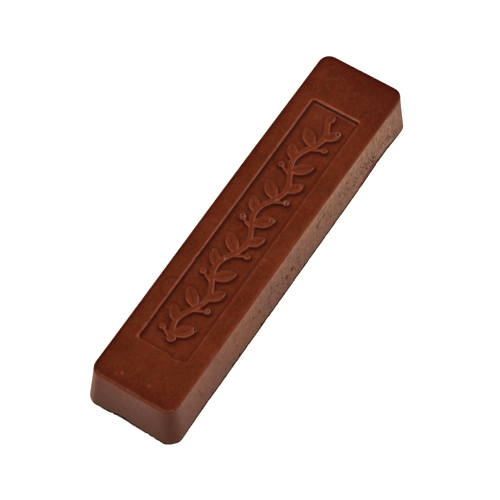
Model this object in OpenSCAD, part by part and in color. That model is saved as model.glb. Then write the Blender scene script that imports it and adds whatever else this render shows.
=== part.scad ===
// Furniture repair wax stick: one bar of hard filler wax, cast in an open mould.
// The origin is at the middle of the underside, +X runs along the bar and +Z up to its panel.

/* [Bar] */
// Overall length, at the foot of the leaning walls
bar_length = 90; // [70:1:130]
// Overall width, at the foot of the leaning walls
bar_width = 21.3; // [19:0.1:32]
// Overall height
bar_height = 11.8; // [9:0.1:16]
// Lean of each wall from upright in degrees, which lets the bar out of its mould
draft_angle = 5.3; // [2:0.1:8]
// Radius of the upright corners at the foot
foot_corner_r = 2.75; // [1.8:0.05:4]
// Radius of the upright corners at the top
top_corner_r = 2.4; // [1.5:0.05:4]
// Rounding between the walls and the top face
top_edge_r = 0.6; // [0.3:0.05:1.2]

/* [Pour edge] */
// Height at which the walls end along the sides, where the wax shrank back from the mould
rim_rise = 0.6; // [0.3:0.05:1]
// Height at which the walls end at the corners, where the wax filled the mould
rim_corner_rise = 0.12; // [0.05:0.01:0.3]
// Distance from a corner at which the rim has reached its full height
rim_corner_reach = 7; // [4:0.5:8]
// Height of the small ripple along the rim
rim_ripple = 0.06; // [0:0.01:0.12]
// Distance from one ripple to the next
rim_ripple_pitch = 6.5; // [5:0.5:12]
// Extra height of the rim on the long stretch that the pour left short
shortfall_rise = 0.65; // [0.2:0.05:1]
// Length of the short stretch
shortfall_length = 20; // [12:1:30]
// Distance of its middle from the bar's far end
shortfall_setback = 11; // [9:0.5:20]
// Extra height of the arch in the rim of the near end
end_arch_rise = 0.5; // [0.2:0.05:0.8]
// Width of the arch
end_arch_width = 6; // [4:0.5:8]
// Distance of the arch from the bar's centre line
end_arch_offset = 2; // [0:0.1:3]

/* [Panel] */
// Plain land between the panel and each end of the top face
end_land = 11.05; // [6:0.05:16]
// Plain land between the panel and each long edge of the top face
side_land = 3.8; // [3:0.05:5]
// Depth of the panel below the top face
panel_depth = 0.5; // [0.3:0.05:1]
// Width in plan of the panel's sloping walls
panel_wall_run = 0.35; // [0.1:0.05:0.6]
// Radius of the panel's corners
panel_corner_r = 0.8; // [0.5:0.05:1.4]

/* [Vine ornament] */
// Height of the raised vine above the panel's floor
relief_height = 0.45; // [0.25:0.05:0.9]
// Width in plan of the sloping sides of what is raised
relief_wall_run = 0.22; // [0.1:0.02:0.3]
// Width of the stem across its flat top
stem_width = 1.05; // [0.7:0.05:1.4]
// Bare floor between the vine and the panel's long walls
vine_side_gap = 1; // [0.6:0.05:1.5]
// Bare floor between the vine and the panel's end walls
vine_end_gap = 3.2; // [1.5:0.1:6]
// Wanted length of one wave of the stem, which is fitted to a whole number of waves
vine_wave = 14.5; // [12:0.5:20]

/* [Hidden] */

// How far a cut runs past a face, and how far what is raised is sunk into the floor
overrun = 0.2;
// Steps round each upright corner, round the top edge and round the pour edge
corner_steps = 6;
edge_steps = 4;
lip_steps = 3;
// Wanted distance between stations along the straight walls
station_pitch = 2;
// Inward reach of the pour edge's underside, as a share of the height of the rim above it
lip_undercut_share = 1.6;

// Signs of the four upright corners, counterclockwise from above
corner_signs = [[1, 1], [-1, 1], [-1, -1], [1, -1]];
// The walls that follow the corners: rear long side, near end, front long side, far end
near_end_wall = 1;
front_wall = 2;

// The top face, and the floor of the panel in it
top_length = bar_length - 2 * bar_height * tan(draft_angle);
top_width = bar_width - 2 * bar_height * tan(draft_angle);
floor_z = bar_height - panel_depth;
floor_length = top_length - 2 * (end_land + panel_wall_run);
floor_width = top_width - 2 * (side_land + panel_wall_run);

// The vine: what it may fill, its whole waves, and its leaves as shares of its reach
vine_reach = floor_width / 2 - vine_side_gap;
vine_half_length = floor_length / 2 - vine_end_gap;
waves = max(2, round(2 * vine_half_length / vine_wave));
wave = 2 * vine_half_length / waves;
stem_swing = 0.3 * vine_reach;
stem_steps_per_wave = 14;
// Length and width shares of the vine's reach, angle off the bar's length in degrees,
// and how far before the crest the leaf starts as a share of a wave
inner_leaf_length_share = 1.15;
inner_leaf_width_share = 0.58;
inner_leaf_angle = 47;
inner_leaf_start_share = 0.2;
outer_leaf_length_share = 0.82;
outer_leaf_width_share = 0.48;
outer_leaf_angle = 36;
outer_leaf_start_share = 0.02;
end_leaf_length_share = 0.55;
end_leaf_width_share = 0.42;
leaf_tip_steps = 7;
// Each crest's berry hangs on a stalk that starts before the outer leaf
stalk_length_share = 0.78;
stalk_width_share = 0.13;
stalk_angle = 62;
stalk_start_share = 0.27;
crest_berry_share = 0.15;
end_berry_share = 0.2;

function mix(a, b, t) = a + (b - a) * t;
function smooth(t) = let (u = min(1, max(0, t))) u * u * (3 - 2 * u);
// A bump that is 1 at 0 and comes down to 0 at -1 and 1
function bell(t) = abs(t) >= 1 ? 0 : (1 + cos(180 * t)) / 2;

// A station on the bar's outline: [corner, outward angle, share of the way to the next corner]
function wall_steps(corner) = ceil((corner % 2 == 0 ? bar_length : bar_width) / station_pitch);
stations = [
    for (c = [0:3]) each concat(
        [for (i = [0:corner_steps]) [c, 90 * (c + i / corner_steps), 0]],
        [for (i = [1:wall_steps(c) - 1]) [c, 90 * (c + 1), i / wall_steps(c)]]
    )
];

// Centre of a corner's round, on the outline at height z that lies in by inset
function corner_radius(z, inset) = mix(foot_corner_r, top_corner_r, z / bar_height) - inset;
function corner_centre(c, z, inset) =
    let (in = z * tan(draft_angle) + inset + corner_radius(z, inset))
    [corner_signs[c % 4].x * (bar_length / 2 - in), corner_signs[c % 4].y * (bar_width / 2 - in)];

function outline_point(s, z, inset) =
    let (at = mix(corner_centre(s[0], z, inset), corner_centre(s[0] + 1, z, inset), s[2]))
    [each at + corner_radius(z, inset) * [cos(s[1]), sin(s[1])], z];

// Height at which the wall ends at a station
function rim_height(s) =
    let (
        run = norm(corner_centre(s[0] + 1, 0, 0) - corner_centre(s[0], 0, 0)),
        from_corner = min(s[2], 1 - s[2]) * run,
        at = outline_point(s, 0, 0),
        side = smooth(from_corner / rim_corner_reach),
        short = s[0] == front_wall
            ? shortfall_rise * bell(2 * (at.x - bar_length / 2 + shortfall_setback) / shortfall_length) : 0,
        arch = s[0] == near_end_wall
            ? end_arch_rise * bell(2 * (at.y - end_arch_offset) / end_arch_width) : 0,
        ripple = rim_ripple * side * sin(360 * s[2] * run / rim_ripple_pitch)
    )
    mix(rim_corner_rise, rim_rise, side) + short * side + arch + ripple;

// The bar's skin: rings of outline points from the underside, round the pour edge, up the wall
// and round the top edge, closed by a flat underside and a flat top
module bar_body() {
    lip = [
        for (i = [0:lip_steps]) let (a = 90 * i / lip_steps) [
            for (s = stations) let (h = rim_height(s))
                outline_point(s, h * (1 - cos(a)), lip_undercut_share * h * (1 - sin(a)))
        ]
    ];
    edge = [
        for (i = [0:edge_steps]) let (a = 90 * i / edge_steps) [
            for (s = stations)
                outline_point(s, bar_height - top_edge_r * (1 - sin(a)), top_edge_r * (1 - cos(a)))
        ]
    ];
    rings = concat(lip, edge);
    n = len(stations);
    walls = [
        for (r = [0:len(rings) - 2], i = [0:n - 1])
            let (a = r * n + i, b = r * n + (i + 1) % n) each [[a, a + n, b], [b, a + n, b + n]]
    ];
    underside = [for (i = [0:n - 1]) i];
    top = [for (i = [0:n - 1]) len(rings) * n - 1 - i];
    polyhedron(points = [for (r = rings) each r], faces = concat([underside], walls, [top]));
}

module rounded_rectangle(size, r) {
    for (c = corner_signs) translate([c.x * (size.x / 2 - r), c.y * (size.y / 2 - r)])
        circle(r, $fn = 32);
}

// The sunk panel, whose walls slope in to its floor
module panel_recess() {
    slope = panel_wall_run / panel_depth;
    hull() {
        translate([0, 0, floor_z]) linear_extrude(overrun)
            hull() rounded_rectangle([floor_length, floor_width], panel_corner_r);
        translate([0, 0, bar_height]) linear_extrude(overrun) hull() rounded_rectangle(
            [floor_length, floor_width] + 2 * panel_depth * slope * [1, 1], panel_corner_r + panel_wall_run
        );
    }
}

// The stem's centre line
function stem_y(x) = stem_swing * sin(360 * (x + vine_half_length) / wave);
function stem_slope(x) = stem_swing * (360 / wave) * (PI / 180) * cos(360 * (x + vine_half_length) / wave);

// One band with sloping sides, swept along the wavy centre line
module stem() {
    steps = waves * stem_steps_per_wave;
    sections = [
        for (i = [0:steps])
            let (
                x = mix(-vine_half_length, vine_half_length, i / steps),
                across = [-stem_slope(x), 1] / norm([-stem_slope(x), 1]),
                at = [x, stem_y(x)],
                top = stem_width / 2,
                foot = top + relief_wall_run * (1 + overrun / relief_height)
            )
            [
                [each at - foot * across, floor_z - overrun], [each at - top * across, floor_z + relief_height],
                [each at + top * across, floor_z + relief_height], [each at + foot * across, floor_z - overrun]
            ]
    ];
    sides = [
        for (i = [0:steps - 1], k = [0:3])
            let (a = 4 * i + k, b = 4 * i + (k + 1) % 4) each [[a, b, a + 4], [b, b + 4, a + 4]]
    ];
    polyhedron(
        points = [for (s = sections) each s],
        faces = concat([[3, 2, 1, 0]], sides, [[for (k = [0:3]) 4 * steps + k]])
    );
}

// Half of a leaf's outline is an arc between its two ends
function leaf_half(length, width, sign) =
    let (
        r = (length * length + width * width) / (4 * width),
        half_angle = asin(length / (2 * r))
    )
    [
        for (i = [0:leaf_tip_steps])
            let (a = mix(-half_angle, half_angle, i / leaf_tip_steps))
            [length / 2 + sign * r * sin(a), sign * (r * cos(a) - r + width / 2)]
    ];

module leaf_outline(length, width, grow) {
    translate([-grow, 0]) polygon(concat(
        leaf_half(length + 2 * grow, width + 2 * grow, 1), leaf_half(length + 2 * grow, width + 2 * grow, -1)
    ));
}

// A raised leaf from its foot at a point, lying along an angle
module leaf(at, angle, length, width) {
    translate([each at, floor_z]) rotate(angle) hull() {
        translate([0, 0, -overrun]) linear_extrude(overrun) leaf_outline(length, width, relief_wall_run);
        linear_extrude(relief_height) leaf_outline(length, width, 0);
    }
}

// A raised round berry
module berry(at, r) {
    translate([each at, floor_z - overrun])
        cylinder(h = relief_height + overrun, r1 = r + relief_wall_run, r2 = r, $fn = 24);
}

// A berry at the end of a narrow stalk, which starts at a point of the stem
module stalked_berry(at, angle) {
    length = stalk_length_share * vine_reach;
    leaf(at, angle, length, stalk_width_share * vine_reach);
    berry(at + length * [cos(angle), sin(angle)], crest_berry_share * vine_reach);
}

// The running vine: at each crest of the stem one leaf outside the bend, a larger one inside it,
// and a berry on its stalk
module vine() {
    stem();
    for (i = [0:2 * waves - 1]) {
        side = i % 2 == 0 ? 1 : -1;
        crest = -vine_half_length + wave * (i / 2 + 1 / 4);
        outer = crest - outer_leaf_start_share * wave;
        inner = crest - inner_leaf_start_share * wave;
        stalk = crest - stalk_start_share * wave;
        leaf([outer, stem_y(outer)], side * outer_leaf_angle,
            outer_leaf_length_share * vine_reach + stem_width / 2, outer_leaf_width_share * vine_reach);
        leaf([inner, stem_y(inner)], -side * inner_leaf_angle,
            inner_leaf_length_share * vine_reach, inner_leaf_width_share * vine_reach);
        stalked_berry([stalk, stem_y(stalk)], side * stalk_angle);
    }
    leaf([vine_half_length, 0], 0, end_leaf_length_share * vine_reach, end_leaf_width_share * vine_reach);
    berry([-vine_half_length, 0], end_berry_share * vine_reach);
}

// The whole bar, one casting
module wax_bar() {
    color("#6e2b1d") union() {
        difference() {
            bar_body();
            panel_recess();
        }
        vine();
    }
}

wax_bar();
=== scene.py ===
"""Furniture repair wax stick: the looks of one cast bar of red-brown filler wax.

Lengths are in millimetres unless a name says otherwise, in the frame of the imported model: the origin
is at the middle of the underside, +X runs along the bar and +Z points up to the sunk panel.
"""

import math

import bmesh
import bpy
import numpy as np
from mathutils import Matrix, Vector, noise


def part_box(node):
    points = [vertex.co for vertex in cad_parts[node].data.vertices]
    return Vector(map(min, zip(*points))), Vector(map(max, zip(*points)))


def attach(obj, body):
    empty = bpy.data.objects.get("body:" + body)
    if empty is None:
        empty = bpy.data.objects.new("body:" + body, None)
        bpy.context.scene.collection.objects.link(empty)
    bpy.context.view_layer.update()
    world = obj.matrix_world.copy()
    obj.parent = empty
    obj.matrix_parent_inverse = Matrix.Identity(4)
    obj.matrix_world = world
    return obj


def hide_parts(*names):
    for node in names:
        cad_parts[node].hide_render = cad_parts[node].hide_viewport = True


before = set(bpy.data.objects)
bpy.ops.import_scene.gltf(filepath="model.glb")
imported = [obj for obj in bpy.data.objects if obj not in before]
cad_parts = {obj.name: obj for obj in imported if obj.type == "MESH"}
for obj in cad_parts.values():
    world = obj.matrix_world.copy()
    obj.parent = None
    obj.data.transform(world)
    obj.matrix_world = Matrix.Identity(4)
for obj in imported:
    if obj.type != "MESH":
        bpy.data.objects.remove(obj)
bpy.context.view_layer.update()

MM = 0.001

# The bar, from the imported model's box
node_low, node_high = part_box("wax_bar")
LENGTH, WIDTH, HEIGHT = (node_high - node_low) / MM
DRAFT = math.tan(math.radians(5.3))
FOOT_CORNER_R = 2.75
TOP_CORNER_R = 2.4
TOP_EDGE_R = 0.12
TOP_HALF_X = LENGTH / 2 - HEIGHT * DRAFT
TOP_HALF_Y = WIDTH / 2 - HEIGHT * DRAFT

# The pour edge: height of the rim above the table, and how far under it the underside's edge curves
RIM_RISE, RIM_LOWEST = 0.6, 0.05
RIM_CORNER_RISE, RIM_CORNER_REACH = 0.12, 7
RIM_RIPPLE, RIM_RIPPLE_PITCH, CORNER_RIPPLE_SHARE = 0.06, 3.1, 0.3
RAGGED_RISE, RAGGED_PITCH, RAGGED_ABOVE = 0.09, 1.3, 0.25
LIP_UNDERCUT = 1.6
# The stretch of the front that the pour left short, and the arch and the chips of the near end's edge, each
# (height, middle, half width)
SHORTFALL = 0.65, LENGTH / 2 - 11, 10
END_ARCH = 0.5, 2, 3
END_CHIPS = [(0.26, 4.15, 0.3), (0.2, -4.3, 0.4), (0.22, -5.6, 0.3), (0.1, 0.4, 0.4), (0.08, 2.9, 0.3)]
CHIP_FADE, CHIP_INSET, CHIP_UNDERCUT = 0.9, 0.35, 1.5
# Waves of the rim, the underside and the walls, each (half height, pitch, seed)
RIM_WAVES = [(0.045, 0.7, 2)]
UNDERSIDE_WAVES = [(0.05, 5, 5), (0.012, 1.2, 6)]
WALL_WAVES = [(0.035, 7, 7), (0.008, 1.6, 8)]

# The sunk panel. The bulge of its near end and the nick in its long wall are (height, middle, half width)
PANEL_HALF_X = TOP_HALF_X - 11.05
PANEL_HALF_Y = TOP_HALF_Y - 3.8
PANEL_SHIFT = 0.08
PANEL_DEPTH = 0.5
PANEL_RUN = 0.35
PANEL_CORNER_R = 0.8
PANEL_WANDER, NEAR_END_WANDER, PANEL_WANDER_PITCH = 0.03, 0.04, 2.3
PANEL_BULGE = 0.42, -2.9, 1.5
PANEL_NICK = 0.14, -11.7, 0.6

# The raised vine in the panel
RELIEF_HEIGHT = 0.45
RELIEF_RUN = 0.3
STEM_TOP_WIDTH = 1.05
VINE_REACH = PANEL_HALF_Y - PANEL_RUN - 1
VINE_HALF_X = PANEL_HALF_X - PANEL_RUN - 3.2
VINE_WAVES = 4
VINE_WAVE = 2 * VINE_HALF_X / VINE_WAVES
STEM_SWING = 0.3 * VINE_REACH
FOOT_GROWTH = 0.22
STEM_WIDTH = STEM_TOP_WIDTH + 2 * FOOT_GROWTH
# What grows from the stem at each crest, as (share of a wave before the crest, angle in degrees, length,
# width), and the leaf and the berry at the stem's two ends
OUTER_LEAF = 0.02, 36, 0.82 * VINE_REACH + STEM_TOP_WIDTH / 2, 0.48 * VINE_REACH
INNER_LEAF = 0.2, -47, 1.15 * VINE_REACH, 0.58 * VINE_REACH
STALK = 0.27, 62, 0.78 * VINE_REACH, 0.13 * VINE_REACH
END_LEAF = 0.55 * VINE_REACH, 0.42 * VINE_REACH
BERRY_R, END_BERRY_R = 0.15 * VINE_REACH + FOOT_GROWTH, 0.2 * VINE_REACH + FOOT_GROWTH
LEAF_GROOVE_DEPTH, LEAF_GROOVE_WIDTH = 0.13, 0.16


def mix(a, b, t):
    return a + (b - a) * t


def smooth(t):
    t = np.clip(t, 0, 1)
    return t * t * (3 - 2 * t)


def growth(value, most, start, run):
    """0 up to the start, the most past the end of the run, and smooth between."""
    return most * smooth((value - start) / run)


def bell(t):
    """1 at 0, falling to 0 at -1 and 1."""
    return np.where(np.abs(t) < 1, (1 + np.cos(math.pi * np.clip(t, -1, 1))) / 2, 0)


def hump(value, most, middle, half_width):
    return most * bell((value - middle) / half_width)


def bump(distance, radius):
    """A soft round bump, 1 in the middle and near 0 past twice the radius."""
    return np.exp(-((distance / radius) ** 2))


def line(value, most, place, radius):
    return most * bump(value - place, radius)


def spot(x, y, mark):
    """1 in the middle of a mark, which is (x, y, radius)."""
    at_x, at_y, radius = mark
    return bump(np.hypot(x - at_x, y - at_y), radius)


def level(x, y):
    return np.stack([x, y, 0 * x], -1)


def wander(points, pitch, seed):
    """Smooth noise from -1 to 1 at each row of points, which changes over about one pitch."""
    shift = Vector((seed * 7.3, seed * 3.1, seed * 1.7))
    return np.array([noise.noise(Vector(p) / pitch + shift) for p in points])


def waves(points, layers):
    return sum(half_height * (1 + wander(points, pitch, seed)) for half_height, pitch, seed in layers)


def rim_height(x, y):
    """Height at which the wall nearest to each point ends."""
    corner_x = LENGTH / 2 - FOOT_CORNER_R
    corner_y = WIDTH / 2 - FOOT_CORNER_R
    on_long_wall = WIDTH / 2 - np.abs(y) < LENGTH / 2 - np.abs(x)
    from_corner = np.where(on_long_wall, corner_x - np.abs(x), corner_y - np.abs(y))
    side = smooth(from_corner / RIM_CORNER_REACH)
    short = hump(x, *SHORTFALL) * (on_long_wall & (y < 0))
    arch = hump(y, *END_ARCH) * (~on_long_wall & (x < 0))
    ripple = RIM_RIPPLE * wander(level(x, y), RIM_RIPPLE_PITCH, 1) * mix(CORNER_RIPPLE_SHARE, 1, side)
    return np.maximum(mix(RIM_CORNER_RISE, RIM_RISE, side) + short * side + arch + ripple, RIM_LOWEST)


def rim_chips(x, y):
    height = waves(level(x, y), RIM_WAVES) + RAGGED_RISE * ragged(x, y)
    near_end = x < -LENGTH / 2 + FOOT_CORNER_R
    for chip in END_CHIPS:
        height = height + near_end * hump(y, *chip)
    return height


def ragged(x, y):
    return smooth((wander(level(x, y), RAGGED_PITCH, 9) - RAGGED_ABOVE) / RAGGED_ABOVE)


def rounded_distance(x, y, half_x, half_y, radius):
    """Distance outside a rounded rectangle, negative inside it."""
    corner_x = np.abs(x) - (half_x - radius)
    corner_y = np.abs(y) - (half_y - radius)
    outside = np.hypot(np.maximum(corner_x, 0), np.maximum(corner_y, 0))
    return outside + np.minimum(np.maximum(corner_x, corner_y), 0) - radius


def foot_inset(x, y):
    return -rounded_distance(x, y, LENGTH / 2, WIDTH / 2, FOOT_CORNER_R)


def top_inset(x, y):
    return -rounded_distance(x, y, TOP_HALF_X, TOP_HALF_Y, TOP_CORNER_R)


def panel_distance(x, y):
    """Distance outside the panel's upper outline, which wanders a little, most at the near end."""
    even = rounded_distance(x - PANEL_SHIFT, y, PANEL_HALF_X, PANEL_HALF_Y, PANEL_CORNER_R)
    near_end = smooth((-PANEL_HALF_X + 3 - x) / 2)
    wavy = wander(level(x, y), PANEL_WANDER_PITCH, 3) * (PANEL_WANDER + NEAR_END_WANDER * near_end)
    return even + wavy - hump(y, *PANEL_BULGE) * near_end - hump(x, *PANEL_NICK) * (y > 0)


def stem_y(x):
    return STEM_SWING * np.sin(2 * math.pi * (x + VINE_HALF_X) / VINE_WAVE)


def stem_distance(x, y):
    """Distance outside the stem's foot: it is a band of one width with round ends."""
    knots = np.linspace(-VINE_HALF_X, VINE_HALF_X, 40 * VINE_WAVES + 1)
    centre = np.stack([knots, stem_y(knots)], -1)
    best = np.full(x.shape, np.inf)
    for a, b in zip(centre[:-1], centre[1:]):
        near = (x > a[0] - 3) & (x < b[0] + 3)
        px, py = x[near] - a[0], y[near] - a[1]
        along = b - a
        t = np.clip((px * along[0] + py * along[1]) / (along @ along), 0, 1)
        best[near] = np.minimum(best[near], np.hypot(px - t * along[0], py - t * along[1]))
    return best - STEM_WIDTH / 2


def leaf_frame(x, y, leaf):
    (at_x, at_y), angle, _, _ = leaf
    dx, dy = x - at_x, y - at_y
    cos, sin = math.cos(math.radians(angle)), math.sin(math.radians(angle))
    return dx * cos + dy * sin, dy * cos - dx * sin


def leaf_distance(x, y, leaf):
    """Distance outside a leaf, whose two edges are arcs that meet at its ends."""
    _, _, length, width = leaf
    half_length, half_width = length / 2 + FOOT_GROWTH, width / 2 + FOOT_GROWTH
    radius = (half_length**2 + half_width**2) / (2 * half_width)
    along, across = leaf_frame(x, y, leaf)
    along = along - length / 2
    return np.hypot(along, np.abs(across) + radius - half_width) - radius


def along_leaf(leaf, reach):
    (x, y), angle, _, _ = leaf
    angle = math.radians(angle)
    return x + reach * math.cos(angle), y + reach * math.sin(angle)


def vine_forms():
    """Leaves and stalks, each as (foot, angle in degrees, length, width), and berries as (x, y, radius)."""
    leaves, stalks, berries = [], [], [(-VINE_HALF_X, 0, END_BERRY_R)]
    for i in range(2 * VINE_WAVES):
        side = 1 if i % 2 == 0 else -1
        crest = -VINE_HALF_X + VINE_WAVE * (i / 2 + 1 / 4)
        grown = (OUTER_LEAF, leaves), (INNER_LEAF, leaves), (STALK, stalks)
        for (before, angle, length, width), forms in grown:
            foot_x = crest - before * VINE_WAVE
            forms.append(((foot_x, float(stem_y(foot_x))), side * angle, length, width))
        berries.append((*along_leaf(stalks[-1], STALK[2]), BERRY_R))
    leaves.append(((VINE_HALF_X, 0), 0, *END_LEAF))
    return leaves, stalks, berries


LEAVES, STALKS, BERRIES = vine_forms()


def blend_distance(a, b, soft=0.2):
    """The nearer of two distances, with the corner between them filled in softly."""
    near = np.maximum(soft - np.abs(a - b), 0) / soft
    return np.minimum(a, b) - near * near * soft / 4


def vine_distance(x, y):
    d = stem_distance(x, y)
    for leaf in LEAVES + STALKS:
        d = blend_distance(d, leaf_distance(x, y, leaf))
    for at_x, at_y, radius in BERRIES:
        d = blend_distance(d, np.hypot(x - at_x, y - at_y) - radius)
    return d


# Which leaves and berries have a burst bubble at their tip, and where the stem has one beside it
BURST_LEAVES = 1, 4, 9, 10, 14
BURST_BERRIES = 2, 5, 6
BURST_STEM_X = -19.5, -8.8, -2.1, 6.4, 8.2, 17.3


def burst_tips():
    rng = np.random.default_rng(5)
    tips = []
    for leaf in (LEAVES[i] for i in BURST_LEAVES):
        tips.append((*along_leaf(leaf, rng.uniform(0.8, 0.95) * leaf[2]), rng.uniform(0.27, 0.42)))
    for x, y, _ in (BERRIES[i] for i in BURST_BERRIES):
        tips.append((x + rng.uniform(-0.25, 0.25), y + rng.uniform(-0.25, 0.25), rng.uniform(0.27, 0.4)))
    for x in BURST_STEM_X:
        tips.append((x, stem_y(x) + rng.choice([-0.3, 0.3]), rng.uniform(0.18, 0.3)))
    return tips


# Small casting flaws of the top, each (x, y, radius): burst bubbles on the vine and pimples on the land
BURST_BUBBLES = burst_tips()
PIMPLES = [
    (-41.6, 4.8, 0.22), (-40.9, 3.8, 0.28), (-40.6, 1.9, 0.2), (-40.4, -2.2, 0.26), (-41.6, -4.4, 0.2),
    (-42, 0.4, 0.14), (-41.2, -1, 0.15), (-5, -6.3, 0.22), (-6.2, -6.25, 0.18), (-23.7, 4.2, 0.26),
    (-42.6, -8.9, 0.22), (-43.3, 0.8, 0.15), (-38.8, -4.6, 0.14), (-37.2, 3.2, 0.12),
]
BUBBLE_RIM_HEIGHT, BUBBLE_HOLE_DEPTH, BUBBLE_HOLE_SHARE = 0.13, 0.3, 0.55
PIMPLE_HEIGHT = 0.08
# A faint ring in the land beside the panel, left by a bubble against the mould
RING_X, RING_Y, RING_HALF_LENGTH, RING_HALF_WIDTH, RING_DEPTH = -19.85, 6.1, 2.35, 2, 0.04
# Faint pale scratches in the land, each (x, y, x, y)
LAND_SCRATCHES = [
    (-35.4, 5.6, -35.3, -6.2), (-40.3, 1.75, -33.2, 1.6), (-42.2, -6.8, -35.6, -6.4),
    (-38, -2.6, -36.9, -2.1), (34.4, -5.6, 38.2, -8),
]
LAND_DISH, LAND_DISH_REACH, LAND_DISH_WANDER, LAND_DISH_PITCH = 0.09, 2.5, 0.25, 6

# Pits of the front wall, each (x, height, radius, depth), and bands of specks, each
# (lowest x, highest x, lowest height, highest height, count)
FRONT_PITS = [
    (-0.6, 5.1, 0.3, 0.4), (-2.6, 4.9, 0.26, 0.35), (-12.8, 6.3, 0.2, 0.3), (-8, 8.4, 0.17, 0.2),
    (-8.2, 6.9, 0.16, 0.2), (-6.1, 6.7, 0.16, 0.2), (-4.2, 4.7, 0.17, 0.2), (-6.2, 3.9, 0.15, 0.2),
    (9.3, 7.5, 0.24, 0.35), (5.2, 2.9, 0.15, 0.2), (17.9, 7.2, 0.15, 0.2), (20.8, 8.4, 0.17, 0.2),
    (19.7, 5.6, 0.15, 0.2), (21.1, 5.7, 0.17, 0.2), (-21, 1.3, 0.2, 0.25), (-23.5, 1.3, 0.18, 0.2),
    (-12.8, 1.3, 0.2, 0.25), (-4.6, 1.3, 0.18, 0.2), (3.6, 1.2, 0.16, 0.2), (-34.5, 1.7, 0.16, 0.2),
    (31, 4.7, 0.16, 0.2), (34.3, 4.8, 0.16, 0.2), (37.1, 4.7, 0.16, 0.2), (30.4, 3.9, 0.15, 0.2),
]
FRONT_SPECKS = [
    (-11, 2, 1.6, 7.2, 58), (27, 39, 3, 7.5, 46), (13, 24, 4, 9.4, 14), (-40, -10, 1.2, 9, 14),
    (-26, -8, 1.2, 3, 12),
]
REAR_SPECKS = 26
SPECK_RADIUS = 0.15
PIT_SPREAD = 1.4
PIT_STRETCH = 1, 1, 0.75
# Scratches in the front wall, each (x, height, x, height, strength)
SCRATCHES = [
    (9.5, 7.6, 10.2, 8.45, 0.9), (10.2, 8.45, 12.8, 8.5, 0.9), (21.8, 7.6, 32.3, 8.1, 0.35),
    (39.2, 3.3, 39.1, 9.1, 0.5),
]
SCRATCH_DEPTH = 0.12


def round_shoulder(t):
    """Share of a wall's height from 0 at its foot to 1: steep at first, and rounded over at the top."""
    return np.sqrt(1 - (1 - np.clip(t, 0, 1)) ** 2)


def leaf_groove(x, y, leaf):
    _, _, length, _ = leaf
    along, across = leaf_frame(x, y, leaf)
    fade = 0.2 * length
    share = smooth((along - 0.15 * length) / fade) * smooth((0.95 * length - along) / fade)
    return share * bump(across, LEAF_GROOVE_WIDTH)


def land_ring(x, y):
    ring = np.hypot((x - RING_X) / RING_HALF_LENGTH, (y - RING_Y) / RING_HALF_WIDTH)
    return bump(ring - 1, 0.13) * smooth(panel_distance(x, y) / 0.3)


def segment_distance(u, v, segment):
    """Distance from points (u, v) to a straight line between two places."""
    from_u, from_v, to_u, to_v = segment
    along_u, along_v = to_u - from_u, to_v - from_v
    t = np.clip(((u - from_u) * along_u + (v - from_v) * along_v) / (along_u**2 + along_v**2), 0, 1)
    return np.hypot(u - from_u - t * along_u, v - from_v - t * along_v)


def land_marks(x, y):
    tone = RING_TONE * land_ring(x, y)
    # Painted highlights on the pimples
    for pimple in PIMPLES:
        tone = tone + PIMPLE_HIGHLIGHT * spot(x, y, pimple)
    for segment in LAND_SCRATCHES:
        tone = tone + LAND_SCRATCH_TONE * bump(segment_distance(x, y, segment), 0.15)
    return tone


def burst_bubble(distance, radius):
    ring = BUBBLE_RIM_HEIGHT * bump(distance - radius, 0.4 * radius)
    return ring - BUBBLE_HOLE_DEPTH * bump(distance, BUBBLE_HOLE_SHARE * radius)


def top_offset(x, y):
    """Height of the finished top above or below the flat top face."""
    wall = panel_distance(x, y)
    z = -PANEL_DEPTH * (1 - round_shoulder(1 + wall / PANEL_RUN))
    z = z + RELIEF_HEIGHT * round_shoulder(-vine_distance(x, y) / RELIEF_RUN)
    for leaf in LEAVES:
        z = z - LEAF_GROOVE_DEPTH * leaf_groove(x, y, leaf)
    for at_x, at_y, radius in BURST_BUBBLES:
        z = z + burst_bubble(np.hypot(x - at_x, y - at_y), radius)
    for pimple in PIMPLES:
        z = z + PIMPLE_HEIGHT * spot(x, y, pimple)
    z = z - RING_DEPTH * land_ring(x, y)
    dish = LAND_DISH * smooth(top_inset(x, y) / LAND_DISH_REACH)
    return np.minimum(z - dish * (1 + LAND_DISH_WANDER * wander(level(x, y), LAND_DISH_PITCH, 4)), 0)


# Tone of the top's wax by place: from -1, darkest, to 1, palest, much of it painted light and shade. Creases,
# the leaves' grooves and the holes of burst bubbles get painted shade, raised tops painted light, and the
# bubbles' rims, the pimples and the sides of the forms that face -X and -Y painted highlights, the others
# less. The land is darker at both ends, and most at the far one.
CREASE_REACH, WALL_CREASE_REACH, FAR_CREASE_REACH = 0.46, 0.4, 0.23
CREASE_SHADE_TONE, AWAY_CREASE_SHADE = -0.68, 0.6
# Painted light on the vine's raised tops
RAISED_LIGHT_TONE = 0.11
# Painted highlights on the shoulders of the forms: how bright, how wide, their share on the vine and on sides
# facing +X and +Y
HIGHLIGHT_TONE, HIGHLIGHT_WIDTH, VINE_HIGHLIGHT = 1.15, 0.15, 0.88
AWAY_SIDE_HIGHLIGHT = 0.2
# Painted shade in the leaves' grooves
LEAF_GROOVE_SHADE = -0.3
# Painted highlight on the burst bubbles' rims and painted shade in their holes
BUBBLE_RIM_HIGHLIGHT, BUBBLE_HOLE_SHADE = 0.7, -0.9
# Painted highlight on the pimples
PIMPLE_HIGHLIGHT = 0.8
LAND_SCRATCH_TONE = 0.18
RING_TONE = -0.42
END_LAND_TONE, FAR_LAND_SHARE = -0.14, 1.5
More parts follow.
